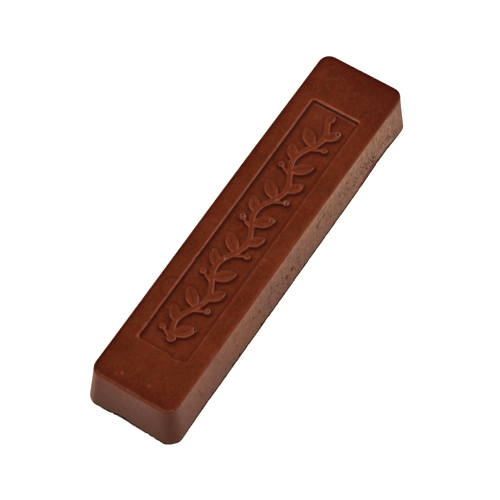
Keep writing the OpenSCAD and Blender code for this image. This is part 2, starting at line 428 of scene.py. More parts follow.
# A painted highlight on the panel's floor along its far wall, as (most, distance from the wall's foot,
# width), and a painted highlight in the bloom's colour on the far wall's upper edge, of which the floor line
# gets a share
FLOOR_LINE_HIGHLIGHT, FLOOR_LINE = 0.36, (1, 0.36, 0.13)
FAR_RIM_HIGHLIGHT, FAR_RIM, FLOOR_LINE_SHARE = 0.3, (1, -0.06, 0.12), 0.38


def crease_shade(outside, run, reach=CREASE_REACH):
    """Share of painted shade: 1 at the foot of a wall, fading up the wall and out over the floor beside it.
    """
    return np.where(outside > 0, bump(outside, reach), smooth(1 + outside / (0.75 * run)))


def at_far_wall(x, y):
    return smooth((x - PANEL_HALF_X + 1.3) / 0.3) * smooth((PANEL_HALF_Y - 0.5 - np.abs(y)) / 0.4)


def front_share(distance, base, x, y, sign):
    """1 where the slope of a form faces -X or -Y, and 0 where it faces +X or +Y."""
    step = 0.03
    slope = (distance(x + step, y) - base + distance(x, y + step) - base) / step
    return smooth((0.35 - sign * slope / math.sqrt(2)) / 0.7)


def panel_looks(x, y):
    """Tone of each point of the top, apart from its edges, with its painted shade, light and highlights, how
    glossy the wax is there, which is 1 round a burst bubble, and the painted highlight in the bloom's colour
    along the panel's far wall."""
    wall, vine, far = panel_distance(x, y), vine_distance(x, y), at_far_wall(x, y)
    wall_front = front_share(panel_distance, wall, x, y, -1)
    vine_front = front_share(vine_distance, vine, x, y, 1)
    uneven = np.clip(0.8 + 0.6 * wander(level(x, y), 1.1, 11), 0, 1)
    off_foot = -wall - PANEL_RUN
    floor_line = line(off_foot, *FLOOR_LINE)
    # Painted shade in the creases by the panel's wall and round the vine, less on the vine's slopes that face
    # +X and +Y
    wall_dark = crease_shade(off_foot, PANEL_RUN, mix(WALL_CREASE_REACH, FAR_CREASE_REACH, far))
    vine_dark = crease_shade(vine, RELIEF_RUN) * mix(AWAY_CREASE_SHADE, 1, vine_front)
    # Painted highlights on the shoulders, strongest on slopes that face -X and -Y
    wall_highlight = bump(wall - 0.05, HIGHLIGHT_WIDTH) * mix(AWAY_SIDE_HIGHLIGHT, 1, wall_front)
    vine_highlight = VINE_HIGHLIGHT * bump(vine + RELIEF_RUN + 0.02, HIGHLIGHT_WIDTH) * mix(AWAY_SIDE_HIGHLIGHT, 1, vine_front)
    # Painted light on the vine's raised tops
    raised_light = RAISED_LIGHT_TONE * smooth((-vine - 0.6 * RELIEF_RUN) / 0.15)
    shoulder_highlight = HIGHLIGHT_TONE * (np.maximum(wall_highlight, vine_highlight) * uneven)
    tone = CREASE_SHADE_TONE * np.maximum(wall_dark, vine_dark) + np.maximum(raised_light, shoulder_highlight)
    gloss = np.zeros(len(x))
    # Painted shade in the leaves' grooves
    for leaf in LEAVES:
        tone = tone + LEAF_GROOVE_SHADE * leaf_groove(x, y, leaf)
    # Painted highlight round each burst bubble's rim and painted shade in its hole, with a glossy coat on the
    # rim
    for at_x, at_y, radius in BURST_BUBBLES:
        away = np.hypot(x - at_x, y - at_y)
        tone = tone + BUBBLE_RIM_HIGHLIGHT * bump(away - radius, 0.3 * radius)
        tone = tone + BUBBLE_HOLE_SHADE * bump(away, BUBBLE_HOLE_SHARE * radius)
        gloss = np.maximum(gloss, bump(away - radius, 0.5 * radius))
    end_land = smooth((np.abs(x) - PANEL_HALF_X) / 2) * mix(1, FAR_LAND_SHARE, smooth(x / PANEL_HALF_X))
    # A painted highlight along the floor by the panel's far wall, and another in the bloom's colour on the
    # wall's upper edge
    tone = tone + land_marks(x, y) + END_LAND_TONE * end_land + FLOOR_LINE_HIGHLIGHT * far * floor_line * uneven
    bloom_and_reflection = FAR_RIM_HIGHLIGHT * np.maximum(line(wall, *FAR_RIM), FLOOR_LINE_SHARE * floor_line) * far
    return np.clip(tone, -1, 1), gloss, bloom_and_reflection


def wall_pits():
    """Every pit and speck of the two long walls, as (place, radius, depth)."""
    rng = np.random.default_rng(7)
    front = [(x, z, radius * PIT_SPREAD, depth) for x, z, radius, depth in FRONT_PITS]
    for low_x, high_x, low_z, high_z, count in FRONT_SPECKS:
        for _ in range(count):
            radius = SPECK_RADIUS * rng.uniform(0.6, 1.2)
            front.append((rng.uniform(low_x, high_x), rng.uniform(low_z, high_z), radius, radius))
    pits = [((x, -WIDTH / 2 + z * DRAFT, z), radius, depth) for x, z, radius, depth in front]
    for _ in range(REAR_SPECKS):
        z, radius = rng.uniform(1.2, 9), SPECK_RADIUS * rng.uniform(0.6, 1.5)
        pits.append(((rng.uniform(-40, 40), WIDTH / 2 - z * DRAFT, z), radius, radius))
    return pits


PITS = wall_pits()


def pit_shares(p, spread=1):
    """Depth of the pits at each point, and how much it lies in one, from 0 to 1."""
    depth, share = np.zeros(len(p)), np.zeros(len(p))
    for at, radius, most in PITS:
        near = np.abs(p[:, 0] - at[0]) < 3 * radius * spread
        inside = bump(np.linalg.norm((p[near] - at) * PIT_STRETCH, axis=1), radius * spread)
        depth[near] = np.maximum(depth[near], most * inside)
        share[near] = np.maximum(share[near], inside)
    return depth, share


def scratch_share(p, width=0.13):
    """1 along the deepest scratches in the front wall, falling off quickly beside them."""
    x, y, z = p.T
    share = np.zeros(len(p))
    for *segment, strength in SCRATCHES:
        share = np.maximum(share, strength * bump(segment_distance(x, z, segment), width))
    return share * (y < -TOP_HALF_Y / 2)


def corner_radius(z, inset=0):
    return mix(FOOT_CORNER_R, TOP_CORNER_R, z / HEIGHT) - inset


# The skin's grid. Each grid line is (m, k): it lies at m times the half size less the corner radius,
# plus k times the corner radius, so that one set of lines fits the outline at every height.
CELL = 0.5
ROUND_ANGLES = np.radians([45, 60, 75, 90])
ROUND_INSETS = TOP_EDGE_R * (1 - np.cos(ROUND_ANGLES))
CORNER_LINES = 1 - np.array([*ROUND_INSETS, 0.45, 0.65, 0.95, 1.35, 1.8]) / TOP_CORNER_R
OUTER = CORNER_LINES[0]


def grid_lines(half):
    middle = np.linspace(-1, 1, round(2 * (half - TOP_CORNER_R) / CELL) + 1)
    corner = np.stack([np.ones_like(CORNER_LINES), CORNER_LINES], -1)
    return np.concatenate([-corner, np.stack([middle, 0 * middle], -1), corner[::-1]])


def place(lines_x, lines_y, half_x, half_y, radius):
    """Points of pairs of grid lines on an outline of this size, with its corners rounded."""
    kx, ky = lines_x[..., 1], lines_y[..., 1]
    reach = np.hypot(kx, ky)
    shrink = np.where(reach > 0, np.maximum(np.abs(kx), np.abs(ky)) / np.maximum(reach, 1e-9), 1)
    x = lines_x[..., 0] * (half_x - radius) + shrink * kx * radius
    y = lines_y[..., 0] * (half_y - radius) + shrink * ky * radius
    return x, y


def skin_arrays():
    """Points and quads of the bar's smooth skin: a top grid, rows of wall points and an underside grid."""
    lines_x, lines_y = grid_lines(TOP_HALF_X), grid_lines(TOP_HALF_Y)
    nx, ny = len(lines_x), len(lines_y)
    gx, gy = np.repeat(lines_x[:, None], ny, 1), np.repeat(lines_y[None, :], nx, 0)

    x, y = place(gx, gy, TOP_HALF_X, TOP_HALF_Y, TOP_CORNER_R)
    inset = TOP_CORNER_R * (1 - np.maximum(np.abs(gx[..., 1]), np.abs(gy[..., 1])))
    drop = TOP_EDGE_R - np.sqrt(TOP_EDGE_R**2 - np.maximum(TOP_EDGE_R - inset, 0) ** 2)
    points = [np.stack([x, y, HEIGHT - drop], -1).reshape(-1, 3)]
    top = np.arange(nx * ny).reshape(nx, ny)

    loop = np.concatenate([
        [(i, 0) for i in range(nx - 1)], [(nx - 1, j) for j in range(ny - 1)],
        [(i, ny - 1) for i in range(nx - 1, 0, -1)], [(0, j) for j in range(ny - 1, 0, -1)],
    ])
    outline_x, outline_y = lines_x[loop[:, 0]].copy(), lines_y[loop[:, 1]].copy()
    outline_x[:, 1] /= OUTER
    outline_y[:, 1] /= OUTER

    def ring(z, inset):
        half_x, half_y = LENGTH / 2 - z * DRAFT - inset, WIDTH / 2 - z * DRAFT - inset
        x, y = place(outline_x, outline_y, half_x, half_y, corner_radius(z, inset))
        return np.stack([x, y, z + 0 * x], -1)

    rows = [top[loop[:, 0], loop[:, 1]]]
    count = nx * ny
    foot = ring(np.zeros(len(loop)), 0)
    rim = rim_height(foot[:, 0], foot[:, 1])
    levels = [
        (HEIGHT - TOP_EDGE_R * (1 - math.sin(a)) + 0 * rim, TOP_EDGE_R * (1 - math.cos(a)))
        for a in np.radians([30, 15, 0])
    ]
    steps = round((HEIGHT - TOP_EDGE_R) / CELL)
    levels += [(mix(HEIGHT - TOP_EDGE_R, rim, s / steps), 0) for s in range(1, steps + 1)]
    for z, inset in levels:
        points.append(ring(z, inset))
        rows.append(count + np.arange(len(loop)))
        count += len(loop)

    under = np.full((nx, ny), -1)
    under[loop[:, 0], loop[:, 1]] = rows[-1]
    inner_x, inner_y = gx[1:-1, 1:-1].copy(), gy[1:-1, 1:-1].copy()
    inner_x[..., 1] /= OUTER
    inner_y[..., 1] /= OUTER
    x, y = place(inner_x, inner_y, LENGTH / 2, WIDTH / 2, FOOT_CORNER_R)
    under[1:-1, 1:-1] = count + np.arange(x.size).reshape(x.shape)
    points.append(np.stack([x, y, 0 * x], -1).reshape(-1, 3))

    def quads(a, b, c, d):
        return np.stack([a, b, c, d], -1).reshape(-1, 4)

    faces = [quads(top[:-1, :-1], top[1:, :-1], top[1:, 1:], top[:-1, 1:])]
    faces += [quads(a, b, np.roll(b, -1), np.roll(a, -1)) for a, b in zip(rows[:-1], rows[1:])]
    faces.append(quads(under[:-1, :-1], under[:-1, 1:], under[1:, 1:], under[1:, :-1]))
    return np.concatenate(points), np.concatenate(faces)


def coordinates(bm):
    return np.array([v.co[:] for v in bm.verts])


def refine(bm, wanted):
    bm.verts.index_update()
    keep = wanted(coordinates(bm))
    edges = [e for e in bm.edges if keep[e.verts[0].index] and keep[e.verts[1].index]]
    bmesh.ops.subdivide_edges(bm, edges=edges, cuts=1, use_grid_fill=True)
    bm.verts.index_update()


def on_top(p):
    return p[:, 2] > HEIGHT - 1e-4


def underneath(p):
    return p[:, 2] < 1e-6


def near_panel(p):
    """The panel without the middles of its bare floor, whose cells stay wide."""
    wall, vine = panel_distance(p[:, 0], p[:, 1]), vine_distance(p[:, 0], p[:, 1])
    return on_top(p) & (wall < 0.5) & ((wall > -1) | (vine < 0.7))


def near_edges(p, margin=0.25):
    x, y = p[:, 0], p[:, 1]
    wall, vine = panel_distance(x, y), vine_distance(x, y)
    at_wall = (wall < margin) & (wall > -PANEL_RUN - margin)
    at_vine = (vine < margin) & (vine > -RELIEF_RUN - margin)
    return on_top(p) & (at_wall | at_vine)


def outward(p):
    """Level direction straight out of the wall at each point."""
    x, y, z = p.T
    radius = corner_radius(z)
    corner_x = LENGTH / 2 - z * DRAFT - radius
    corner_y = WIDTH / 2 - z * DRAFT - radius
    out = np.stack([x - np.clip(x, -corner_x, corner_x), y - np.clip(y, -corner_y, corner_y)], -1)
    return out / np.maximum(np.linalg.norm(out, axis=1), 1e-9)[:, None]


def past_corner(p):
    """Level distance past the start of the nearest upright corner: below 0 in the corner itself."""
    x, y, z = np.abs(p.T)
    straight = z * DRAFT + corner_radius(z)
    return np.maximum(LENGTH / 2 - straight - x, WIDTH / 2 - straight - y)


def front_edge(p):
    """1 on the sides that face -X and -Y, and 0 on the other two."""
    away = outward(p)
    return smooth((-away[:, 0] - away[:, 1] + 0.35) / 0.7)


def edge_highlight_and_shade(p):
    return mix(BACK_EDGE_SHADE, EDGE_HIGHLIGHT, front_edge(p)) * (0.85 + 0.5 * wander(p, 2.2, 13))


def lip_height(x, y):
    """Height of the underside, whose edge curves up to the rim and whose middle is a little uneven."""
    inset = np.maximum(foot_inset(x, y), 0)
    rim = rim_height(x, y) + rim_chips(x, y)
    t = np.clip(inset / (LIP_UNDERCUT * rim), 0, 1)
    return rim * (1 - np.sqrt(1 - (1 - t) ** 2)) + waves(level(x, y), UNDERSIDE_WAVES) * smooth(inset / 3)


# The fine groove above the pour edge: its depth, height above the rim and width
RIM_GROOVE = 0.13, 0.3, 0.17
# How far the top's outline bows outwards, and its shares along the back, as (most, middle, half length),
# and along the front, as (most, start, run)
BOW, BACK_BOW, FRONT_BOW = 0.13, (1, 8, 45), (1, 12, 20)
# How much fuller the far front corner and the foot of the near back corner are
FAR_SWELL, BACK_SWELL = 0.09, 0.17
# How far the foot of the near end's corners is lifted and drawn in, and over what height and inset
CORNER_LIFT, CORNER_ROUND, CORNER_ROUND_HEIGHT, CORNER_ROUND_INSET = 0.3, 0.1, 1.1, 1.3


def shape_skin(p, top, wall, under):
    out, away = p.copy(), outward(p)
    x, y, z = p.T
    out[top, 2] += top_offset(x[top], y[top])
    out[under, 2] = lip_height(x[under], y[under])
    undercut = 1 - smooth(foot_inset(x[under], y[under]) / CHIP_UNDERCUT)
    chips = CHIP_INSET * rim_chips(x[under], y[under]) * undercut
    out[under, :2] -= chips[:, None] * away[under]

    at = p[wall]
    above_rim = z[wall] - rim_height(x[wall], y[wall])
    below_top = HEIGHT - TOP_EDGE_R - z[wall]
    chips = rim_chips(x[wall], y[wall]) * (1 - smooth(above_rim / CHIP_FADE))
    pits, scratches = pit_shares(at)[0], SCRATCH_DEPTH * scratch_share(at)
    inward = waves(at, WALL_WAVES) * smooth(below_top / 2) + pits + scratches
    inward = inward + line(above_rim, *RIM_GROOVE) + CHIP_INSET * chips
    out[wall, :2] -= inward[:, None] * away[wall]
    out[wall, 2] += chips

    beside_walls = smooth(1 - np.maximum(top_inset(x, y), 0) / TOP_CORNER_R)
    bow = BOW * (z / HEIGHT) ** 2 * beside_walls
    out[:, 0] += bow * np.maximum(away[:, 0], 0)
    out[:, 1] += bow * away[:, 1] * np.where(y > 0, hump(x, *BACK_BOW), growth(x, *FRONT_BOW))
    in_corner = 4 * np.prod(away, axis=1) ** 2
    swell = FAR_SWELL * ((x > 0) & (y < 0)) + BACK_SWELL * (1 - z / HEIGHT) * ((x < 0) & (y > 0))
    out[:, :2] += (swell * in_corner * beside_walls)[:, None] * away
    low_down = smooth(1 - z / CORNER_ROUND_HEIGHT)
    near_foot = smooth(1 - np.maximum(foot_inset(x, y), 0) / CORNER_ROUND_INSET)
    rounding = in_corner * low_down * near_foot * (x < 0)
    out[:, 2] += CORNER_LIFT * rounding
    out[:, :2] -= CORNER_ROUND * rounding[:, None] * away
    return out


# Looks of the top's edges, where three numbers are (most, start, run) or (most, place, width). First the
# painted highlight on the rounded edge in front and the painted shade on it behind, and the line beside it,
# further in at the near end
EDGE_HIGHLIGHT, BACK_EDGE_SHADE = 0.42, -0.85
EDGE_LINE, NEAR_END_LINE, EDGE_LINE_WIDTH, EDGE_LINE_FADE = 0.33, 0.17, 0.22, (-0.3, 15, 22)
# Dark bands by the near edge, along the back and at the far end, and a dip beside the front edge
NEAR_EDGE_TONE = -0.35, 1.3, 0.75
BACK_BAND_TONE, BACK_BAND_WIDTH = -0.4, 1.8
IN_FRONT = 1, 2, 4
FAR_CORNER_TONE = -0.13, 35, 5
FAR_EDGE_TONE, FAR_EDGE_IN_FRONT = (-0.25, 38, 4), 0.7
EDGE_DIP_TONE, EDGE_DIP = (-0.16, 5, 15), (1, 0.9, 0.8)
# Bloom and painted reflection on the rounded edge, and a painted highlight in the bloom's colour beside it at
# the near end
EDGE_BLOOM_AND_REFLECTION, EDGE_REFLECTION_WIDTH = 0.25, 0.15
NEAR_END_HIGHLIGHT = 0.14, 0.48, 0.2


def top_looks(p):
    x, y, _ = p.T
    tone, gloss, bloom_and_reflection = panel_looks(x, y)
    inset, front, near_end = top_inset(x, y), front_edge(p), np.maximum(-outward(p)[:, 0], 0)
    in_front = growth(-y, *IN_FRONT)
    edge_line = bump(inset - (EDGE_LINE + NEAR_END_LINE * near_end), EDGE_LINE_WIDTH)
    # Painted highlight along the front edges and painted shade along the back ones
    tone += edge_highlight_and_shade(p) * (1 + growth(x, *EDGE_LINE_FADE)) * edge_line
    tone += line(x + TOP_HALF_X, *NEAR_EDGE_TONE)
    tone += BACK_BAND_TONE * (1 - front) * smooth(1 - inset / BACK_BAND_WIDTH)
    tone += growth(x, *FAR_CORNER_TONE) * in_front
    tone += growth(x, *FAR_EDGE_TONE) * mix(1, FAR_EDGE_IN_FRONT, in_front)
    tone += growth(x, *EDGE_DIP_TONE) * (front * (1 - near_end) * line(inset, *EDGE_DIP))
    # Bloom and painted reflection on the rounded edge, and a painted highlight beside it at the near end
    edge_bloom_and_reflection = EDGE_BLOOM_AND_REFLECTION * smooth(1 - inset / EDGE_REFLECTION_WIDTH) + near_end * line(inset, *NEAR_END_HIGHLIGHT)
    return tone, gloss, np.maximum(edge_bloom_and_reflection, bloom_and_reflection)


# Bloom and painted reflection on the walls. The ends have more round their middle, and less at their sides
# and high up at the back. Then the back, the upright corners, the near back one of which gets a paler painted
# reflection, the foot, which gets paler along the bar, and the top
END_BLOOM_AND_REFLECTION, END_MIDDLE, END_SIDES = 0.64, (0.34, -1, 3.2), (-0.1, 5.5, 2)
END_BACK, END_HIGH = (-0.3, 4, 2), (1, 7, 3)
BACK_BLOOM_AND_REFLECTION = 0.8
CORNER_BLOOM_AND_REFLECTION, FAR_CORNER_BLOOM_AND_REFLECTION, PALE_CORNER_REFLECTION, PALE_CORNER = 0.3, 0.75, 1.05, (1, 0.4, 0.7)
FOOT_BLOOM_AND_REFLECTION, FAR_FOOT_BLOOM_AND_REFLECTION, TO_FAR_FOOT = 0.65, 0.9, (1, 15, 20)
TOP_MORE, FAR_TOP = (0.2, 0, 0.7), (-0.22, 26, 8)
# How far below the top's edge the bloom and painted reflection start, and how much lower along X, along -X
# and on the near end
BLOOM_AND_REFLECTION_START = 0.02
FAR_STARTS, NEAR_START, END_START = ((0.26, 18, 24), (0.37, 36.5, 4)), (0.12, 36, 4), (0.15, 0.5, 0.4)
# How dark the foot of the long walls, which fades along X, the foot of the ends and the corners are
FOOT_SHADE, FOOT_SHADE_FADE, END_SHADE = 0.3, (-0.7, 15, 20), 0.57
CORNER_SHADE, FAR_CORNER_SHARE, PALE_CORNER_FADE = 0.53, 0.4, 0.8
# A dark patch low on the front wall's far end, up to a height, and a dark edge at the top there
FAR_FOOT, FAR_FOOT_DOWN, FAR_END_SHARE, FAR_END = (0.55, 37.5, 2), (1, -5.6, 3.2), 0.55, (1, 40.2, 1)
DARK_EDGE = 0.38, 33, 4
SCRATCH_SHADE, BARE_SHADE = 0.8, 0.3
# The painted shadow line along the pour edge, whose height wanders and is greater at the near end
POUR_SHADOW_LINE = 0.97
LINE_HEIGHT, NEAR_END_HEIGHT, LINE_WANDER, LINE_PITCH = 0.26, 0.12, 0.16, 0.9
LINE_FADE, BARE_FADE = 0.2, 0.25
# The painted highlight under the front wall's top: where it starts and ends, and its depth
RIM_HIGHLIGHT, RIM_HIGHLIGHT_END, RIM_HIGHLIGHT_DEPTH = (0.5, -36, 50), (1, 28, 6), (1, 0.4, 0.25)
EDGE_HIGHLIGHT_REACH = 0.25
# A dark red lip at the foot of the front wall, painted as bare wax with painted shade and without the painted
# reflection: where it starts, is highest and ends, its height, and how much it hides of the line
LIP_START_X, LIP_TOP_X, LIP_END_X, LIP_HEIGHT, LIP_HIDES = 21, 30, 34.5, 1.5, 0.75


def lip_share(x, y):
    grows = (x - LIP_START_X) / (LIP_TOP_X - LIP_START_X)
    shrinks = (LIP_END_X - x) / (LIP_END_X - LIP_TOP_X)
    return smooth(np.minimum(grows, shrinks)) * (y < -TOP_HALF_Y / 2)


def wall_looks(p):
    """Tone of the walls' points, which is painted highlight and shade, their bloom with painted reflection,
    and how dark each is made by a pit or by painted shade at the foot or along the pour line.
    """
    x, y, z = p.T
    away_x, away_y = outward(p).T
    above_rim, below_top, height = z - rim_height(x, y), HEIGHT - TOP_EDGE_R - z, z / HEIGHT
    near_back, past, in_lip = (x < 0) & (y > 0), past_corner(p), lip_share(x, y)
    pale_corner = near_back * growth(-past, *PALE_CORNER)
    flat = np.where(near_back, 1, smooth((past + 2) / (3.8 + 2 * (1 - height))))

    # How much bloom and painted reflection each wall gets: more round the ends' middles, less in the corners
    # and low down
    end_bloom_and_reflection = END_BLOOM_AND_REFLECTION * (1 + line(y, *END_MIDDLE) + growth(np.abs(y), *END_SIDES))
    end_bloom_and_reflection = end_bloom_and_reflection * (1 + growth(y, *END_BACK) * growth(z, *END_HIGH))
    side = np.where(np.abs(away_y) > np.abs(away_x), np.where(away_y < 0, 1, BACK_BLOOM_AND_REFLECTION), end_bloom_and_reflection)
    full = mix(np.where(x > 0, FAR_CORNER_BLOOM_AND_REFLECTION, CORNER_BLOOM_AND_REFLECTION), side, flat)
    full = full * mix(mix(FOOT_BLOOM_AND_REFLECTION, FAR_FOOT_BLOOM_AND_REFLECTION, growth(x, *TO_FAR_FOOT)), 1, height**1.5)
    full = mix(full, PALE_CORNER_REFLECTION, pale_corner) * (1 + line(below_top, *TOP_MORE))
    full = full * (1 + growth(x, *FAR_TOP) * height**2)
    bloom_and_reflection_start = BLOOM_AND_REFLECTION_START + sum(growth(x, *start) for start in FAR_STARTS)
    bloom_and_reflection_start = bloom_and_reflection_start + growth(-x, *NEAR_START) + growth(-away_x, *END_START)
    from_edge = smooth((below_top - bloom_and_reflection_start) / 0.25)

    near_end = smooth(-away_x / 0.5)
    line_height = LINE_HEIGHT + LINE_WANDER * wander(p, LINE_PITCH, 12) * (1 + near_end)
    above_line = above_rim - line_height - NEAR_END_HEIGHT * near_end
    bare = smooth((above_line - LIP_HEIGHT * in_lip) / BARE_FADE)
    bloom_and_reflection = mix(EDGE_BLOOM_AND_REFLECTION, full, from_edge) * bare
    # Painted shadow along the pour edge
    pour_shadow_line = POUR_SHADOW_LINE * (1 - smooth(above_line / LINE_FADE)) * (1 - LIP_HIDES * in_lip)

    # Painted shade at the foot of the walls and in the upright corners
    foot = FOOT_SHADE * (1 + growth(x, *FOOT_SHADE_FADE))
    foot = mix(foot, END_SHADE, smooth(np.abs(away_x) / 0.4)) * (1 - height)
    corner = CORNER_SHADE * (1 - flat) * np.where(x > 0, FAR_CORNER_SHARE, 1)
    foot = np.maximum(foot, corner) * (1 - PALE_CORNER_FADE * pale_corner)
    far_foot = growth(x, *FAR_FOOT) * growth(-z, *FAR_FOOT_DOWN) * mix(1, FAR_END_SHARE, growth(x, *FAR_END))
    dark_edge = growth(x, *DARK_EDGE) * (1 - from_edge)
    # Darkness of pits and scratches, with the painted shade of the foot, the corners and the pour line
    flaws = [pit_shares(p, 1.25)[1], SCRATCH_SHADE * scratch_share(p), BARE_SHADE * (1 - bare)]
    pits_and_shade = np.maximum.reduce([*flaws, pour_shadow_line, foot, far_foot * (y < 0), dark_edge * (y < 0)])

    # The edges' painted highlight and shade reach a little way down the walls
    tone = edge_highlight_and_shade(p) * (1 - smooth((below_top + TOP_EDGE_R) / (TOP_EDGE_R + EDGE_HIGHLIGHT_REACH)))
    # Painted highlight under the front wall's top
    rim_highlight = growth(x, *RIM_HIGHLIGHT) * (1 - growth(x, *RIM_HIGHLIGHT_END)) * (away_y < -0.5)
    return tone + rim_highlight * line(below_top, *RIM_HIGHLIGHT_DEPTH), bloom_and_reflection, pits_and_shade


def finish_skin(p):
    """The skin's points with every form of the cast surface, and four shares for the wax: its tone, with
    painted shade and highlights, its gloss, how much pale bloom and painted reflection lies on it, and how
    far it is in a pit or in painted shade at the foot and along the pour edge's line."""
    top, under = on_top(p), underneath(p)
    wall = ~top & ~under
    tone, gloss, bloom_and_reflection, pits_and_shade = np.zeros((4, len(p)))
    tone[top], gloss[top], bloom_and_reflection[top] = top_looks(p[top])
    tone[wall], bloom_and_reflection[wall], pits_and_shade[wall] = wall_looks(p[wall])
    # The underside gets the pour line's painted shade
    pits_and_shade[under] = POUR_SHADOW_LINE
    return shape_skin(p, top, wall, under), {"tone": tone, "gloss": gloss, "bloom_and_reflection": bloom_and_reflection, "pits_and_shade": pits_and_shade}


def near_pits(p):
    wall = ~on_top(p) & ~underneath(p)
    return wall & ((pit_shares(p, 2.3)[1] > 0.12) | (scratch_share(p, 0.4) > 0.1))


def near_marks(p):
    x, y = p[:, 0], p[:, 1]
    return on_top(p) & (panel_distance(x, y) > 0.3) & (np.abs(land_marks(x, y)) > 0.03)


def near_bubbles(p):
    away = [np.hypot(p[:, 0] - x, p[:, 1] - y) / radius for x, y, radius in BURST_BUBBLES]
    return on_top(p) & (np.min(away, axis=0) < 1.7)


def near_rim(p):
    return (p[:, 2] < 1.6) & (foot_inset(*p.T[:2]) < 1.2)


def at_rim_line(p):
    return ~underneath(p) & (p[:, 2] - rim_height(*p.T[:2]) < 0.75)


# The places of finer grids, in order. A name that comes twice halves the cells there twice
FINER = [
    near_panel, near_edges, near_bubbles, near_marks, near_marks, near_rim, at_rim_line, near_pits, near_pits,
]


def wax_skin():
    points, faces = skin_arrays()
    mesh = bpy.data.meshes.new("wax_bar_cast")
    mesh.from_pydata(points.tolist(), [], faces.tolist())
    bm = bmesh.new()
    bm.from_mesh(mesh)
    for wanted in FINER:
        refine(bm, wanted)
    bm.verts.ensure_lookup_table()
    places, shares = finish_skin(coordinates(bm))
    for vertex, at in zip(bm.verts, places * MM):
        vertex.co = at
    bm.normal_update()
    bm.to_mesh(mesh)
    bm.free()
    for name, values in shares.items():
        mesh.attributes.new(name, "FLOAT", "POINT").data.foreach_set("value", values)
    mesh.polygons.foreach_set("use_smooth", np.ones(len(mesh.polygons), bool))
    return new_object("wax_bar_cast", mesh)


class Nodes:
    """Adds nodes to a tree, with values or sockets as inputs. Most calls give back the node's output."""

    def __init__(self, tree):
        self.tree = tree

    def fill(self, node, inputs):
        for name, value in inputs.items():
            if isinstance(value, bpy.types.NodeSocket):
                self.tree.links.new(value, node.inputs[name])
            else:
                node.inputs[name].default_value = value

    def add(self, kind, inputs, output=0, **settings):
        node = self.tree.nodes.new("ShaderNode" + kind)
        for name, value in settings.items():
            setattr(node, name, value)
        self.fill(node, inputs)
        return node.outputs[output]

    def math(self, operation, *values):
        return self.add("Math", dict(enumerate(values)), operation=operation)

    def times(self, a, b):
        return self.math("MULTIPLY", a, b)

    def plus(self, a, b):
        return self.math("ADD", a, b)

    def attribute(self, name):
        return self.add("Attribute", {}, output=2, attribute_name=name)

    def parts(self, vector):
        node = self.tree.nodes.new("ShaderNodeSeparateXYZ")
        self.fill(node, {0: vector})
        return node.outputs

    def share(self, value, low, high, most=1):
        """0 at low, the most at high and smooth between."""
        inputs = {"Value": value, "From Min": low, "From Max": high, "To Max": most}
        return self.add("MapRange", inputs, interpolation_type="SMOOTHSTEP")

    def noise(self, vector, scale, detail=2, roughness=0.5):
        inputs = {"Vector": vector, "Scale": scale, "Detail": detail, "Roughness": roughness}
        return self.add("TexNoise", inputs)

    def stretched(self, vector, pattern, scale, turn=0):
        inputs = {"Vector": vector, "Scale": scale, "Rotation": (0, 0, math.radians(turn))}
        return self.noise(self.add("Mapping", inputs), *pattern)

    def blend(self, share, a, b):
        inputs = {0: share, 6: a, 7: b}
        return self.add("Mix", inputs, output=2, data_type="RGBA", clamp_factor=True)

    def number(self, share, a, b):
        return self.add("Mix", {0: share, 2: a, 3: b}, clamp_factor=True)


def new_material(name):
    material = bpy.data.materials.new(name)
    material.use_nodes = True
    return material, Nodes(material.node_tree), material.node_tree.nodes["Principled BSDF"]


def new_object(name, data):
    made = bpy.data.objects.new(name, data)
    bpy.context.scene.collection.objects.link(made)
    return made


# Colours of the wax and of the light and shade painted on it, and how it reflects
DEEP_WAX = (0.066, 0.0083, 0.0018, 1)
WARM_WAX = (0.18, 0.03, 0.0078, 1)
OLIVE_WAX = (0.115, 0.025, 0.008, 1)
RED_WAX = (0.14, 0.0145, 0.0045, 1)
DUSTY_WAX = (0.19, 0.052, 0.028, 1)
# Colour of the painted shade in creases
CREASE_SHADE_WAX = (0.052, 0.002, 0.0002, 1)
# Colour of the painted highlights, of the brushed streaks and of other pale marks
PALE_MARK_AND_HIGHLIGHT_WAX = (0.32, 0.067, 0.03, 1)
# Colours of the bloom with its painted reflection, and of the painted highlight on it
BLOOM_AND_REFLECTION_WARM = (0.31, 0.132, 0.066, 1)
BLOOM_AND_REFLECTION_DULL = (0.24, 0.118, 0.093, 1)
BLOOM_AND_REFLECTION_GREY = (0.385, 0.232, 0.15, 1)
HIGHLIGHT_ON_BLOOM = (0.5, 0.25, 0.155, 1)
# Colour of the pits and of the painted shade on the walls
PIT_AND_SHADE_WAX = (0.045, 0.0075, 0.001, 1)
WAX_IOR, WAX_SPECULAR = 1.45, 0.24
TOP_ROUGHNESS, WALL_ROUGHNESS = (0.22, 0.28), (0.7, 0.9)
PALE_TONE_ROUGHNESS, CREASE_ROUGHNESS, BUBBLE_ROUGHNESS = 0.33, 0.85, 0.1

# Patterns in the wax, each (scale, detail, roughness). Those that run one way have with them how they are
# stretched and, in degrees, turned
CLOUDS = 0.16, 3
MOTTLE = 1.1, 3, 0.6
GRAIN = 3, 3, 0.7
PATCHES = (0.7, 2), (1, 1, 1), 15
STREAKS = (1, 3, 0.6), (0.22, 0.22, 2.6)
UPRIGHTS = (1, 3, 0.6), (1.5, 1.5, 0.25)
SCUFFS = (1, 2), (0.35, 5.5, 1), 28
BRUSHED = (1, 1), (0.6, 3.6, 1), 2
CLUSTERS = 0.3, 2
DOTS, DOTS_STRETCH = 1.7, (1, 1, 0.8)
NICKS, NICKS_SLANT, NICK_FIELDS = (1, 1), (2.1, 0, 1.1), (0.35, 1)
# How far three of them stand out, in millimetres, on bare wax and where the bloom with its painted reflection
# is full
GRAIN_HEIGHT, MOTTLE_HEIGHT, STREAKS_HEIGHT = (0.006, 0.045), (0.02, 0.06), (0, 0.05)


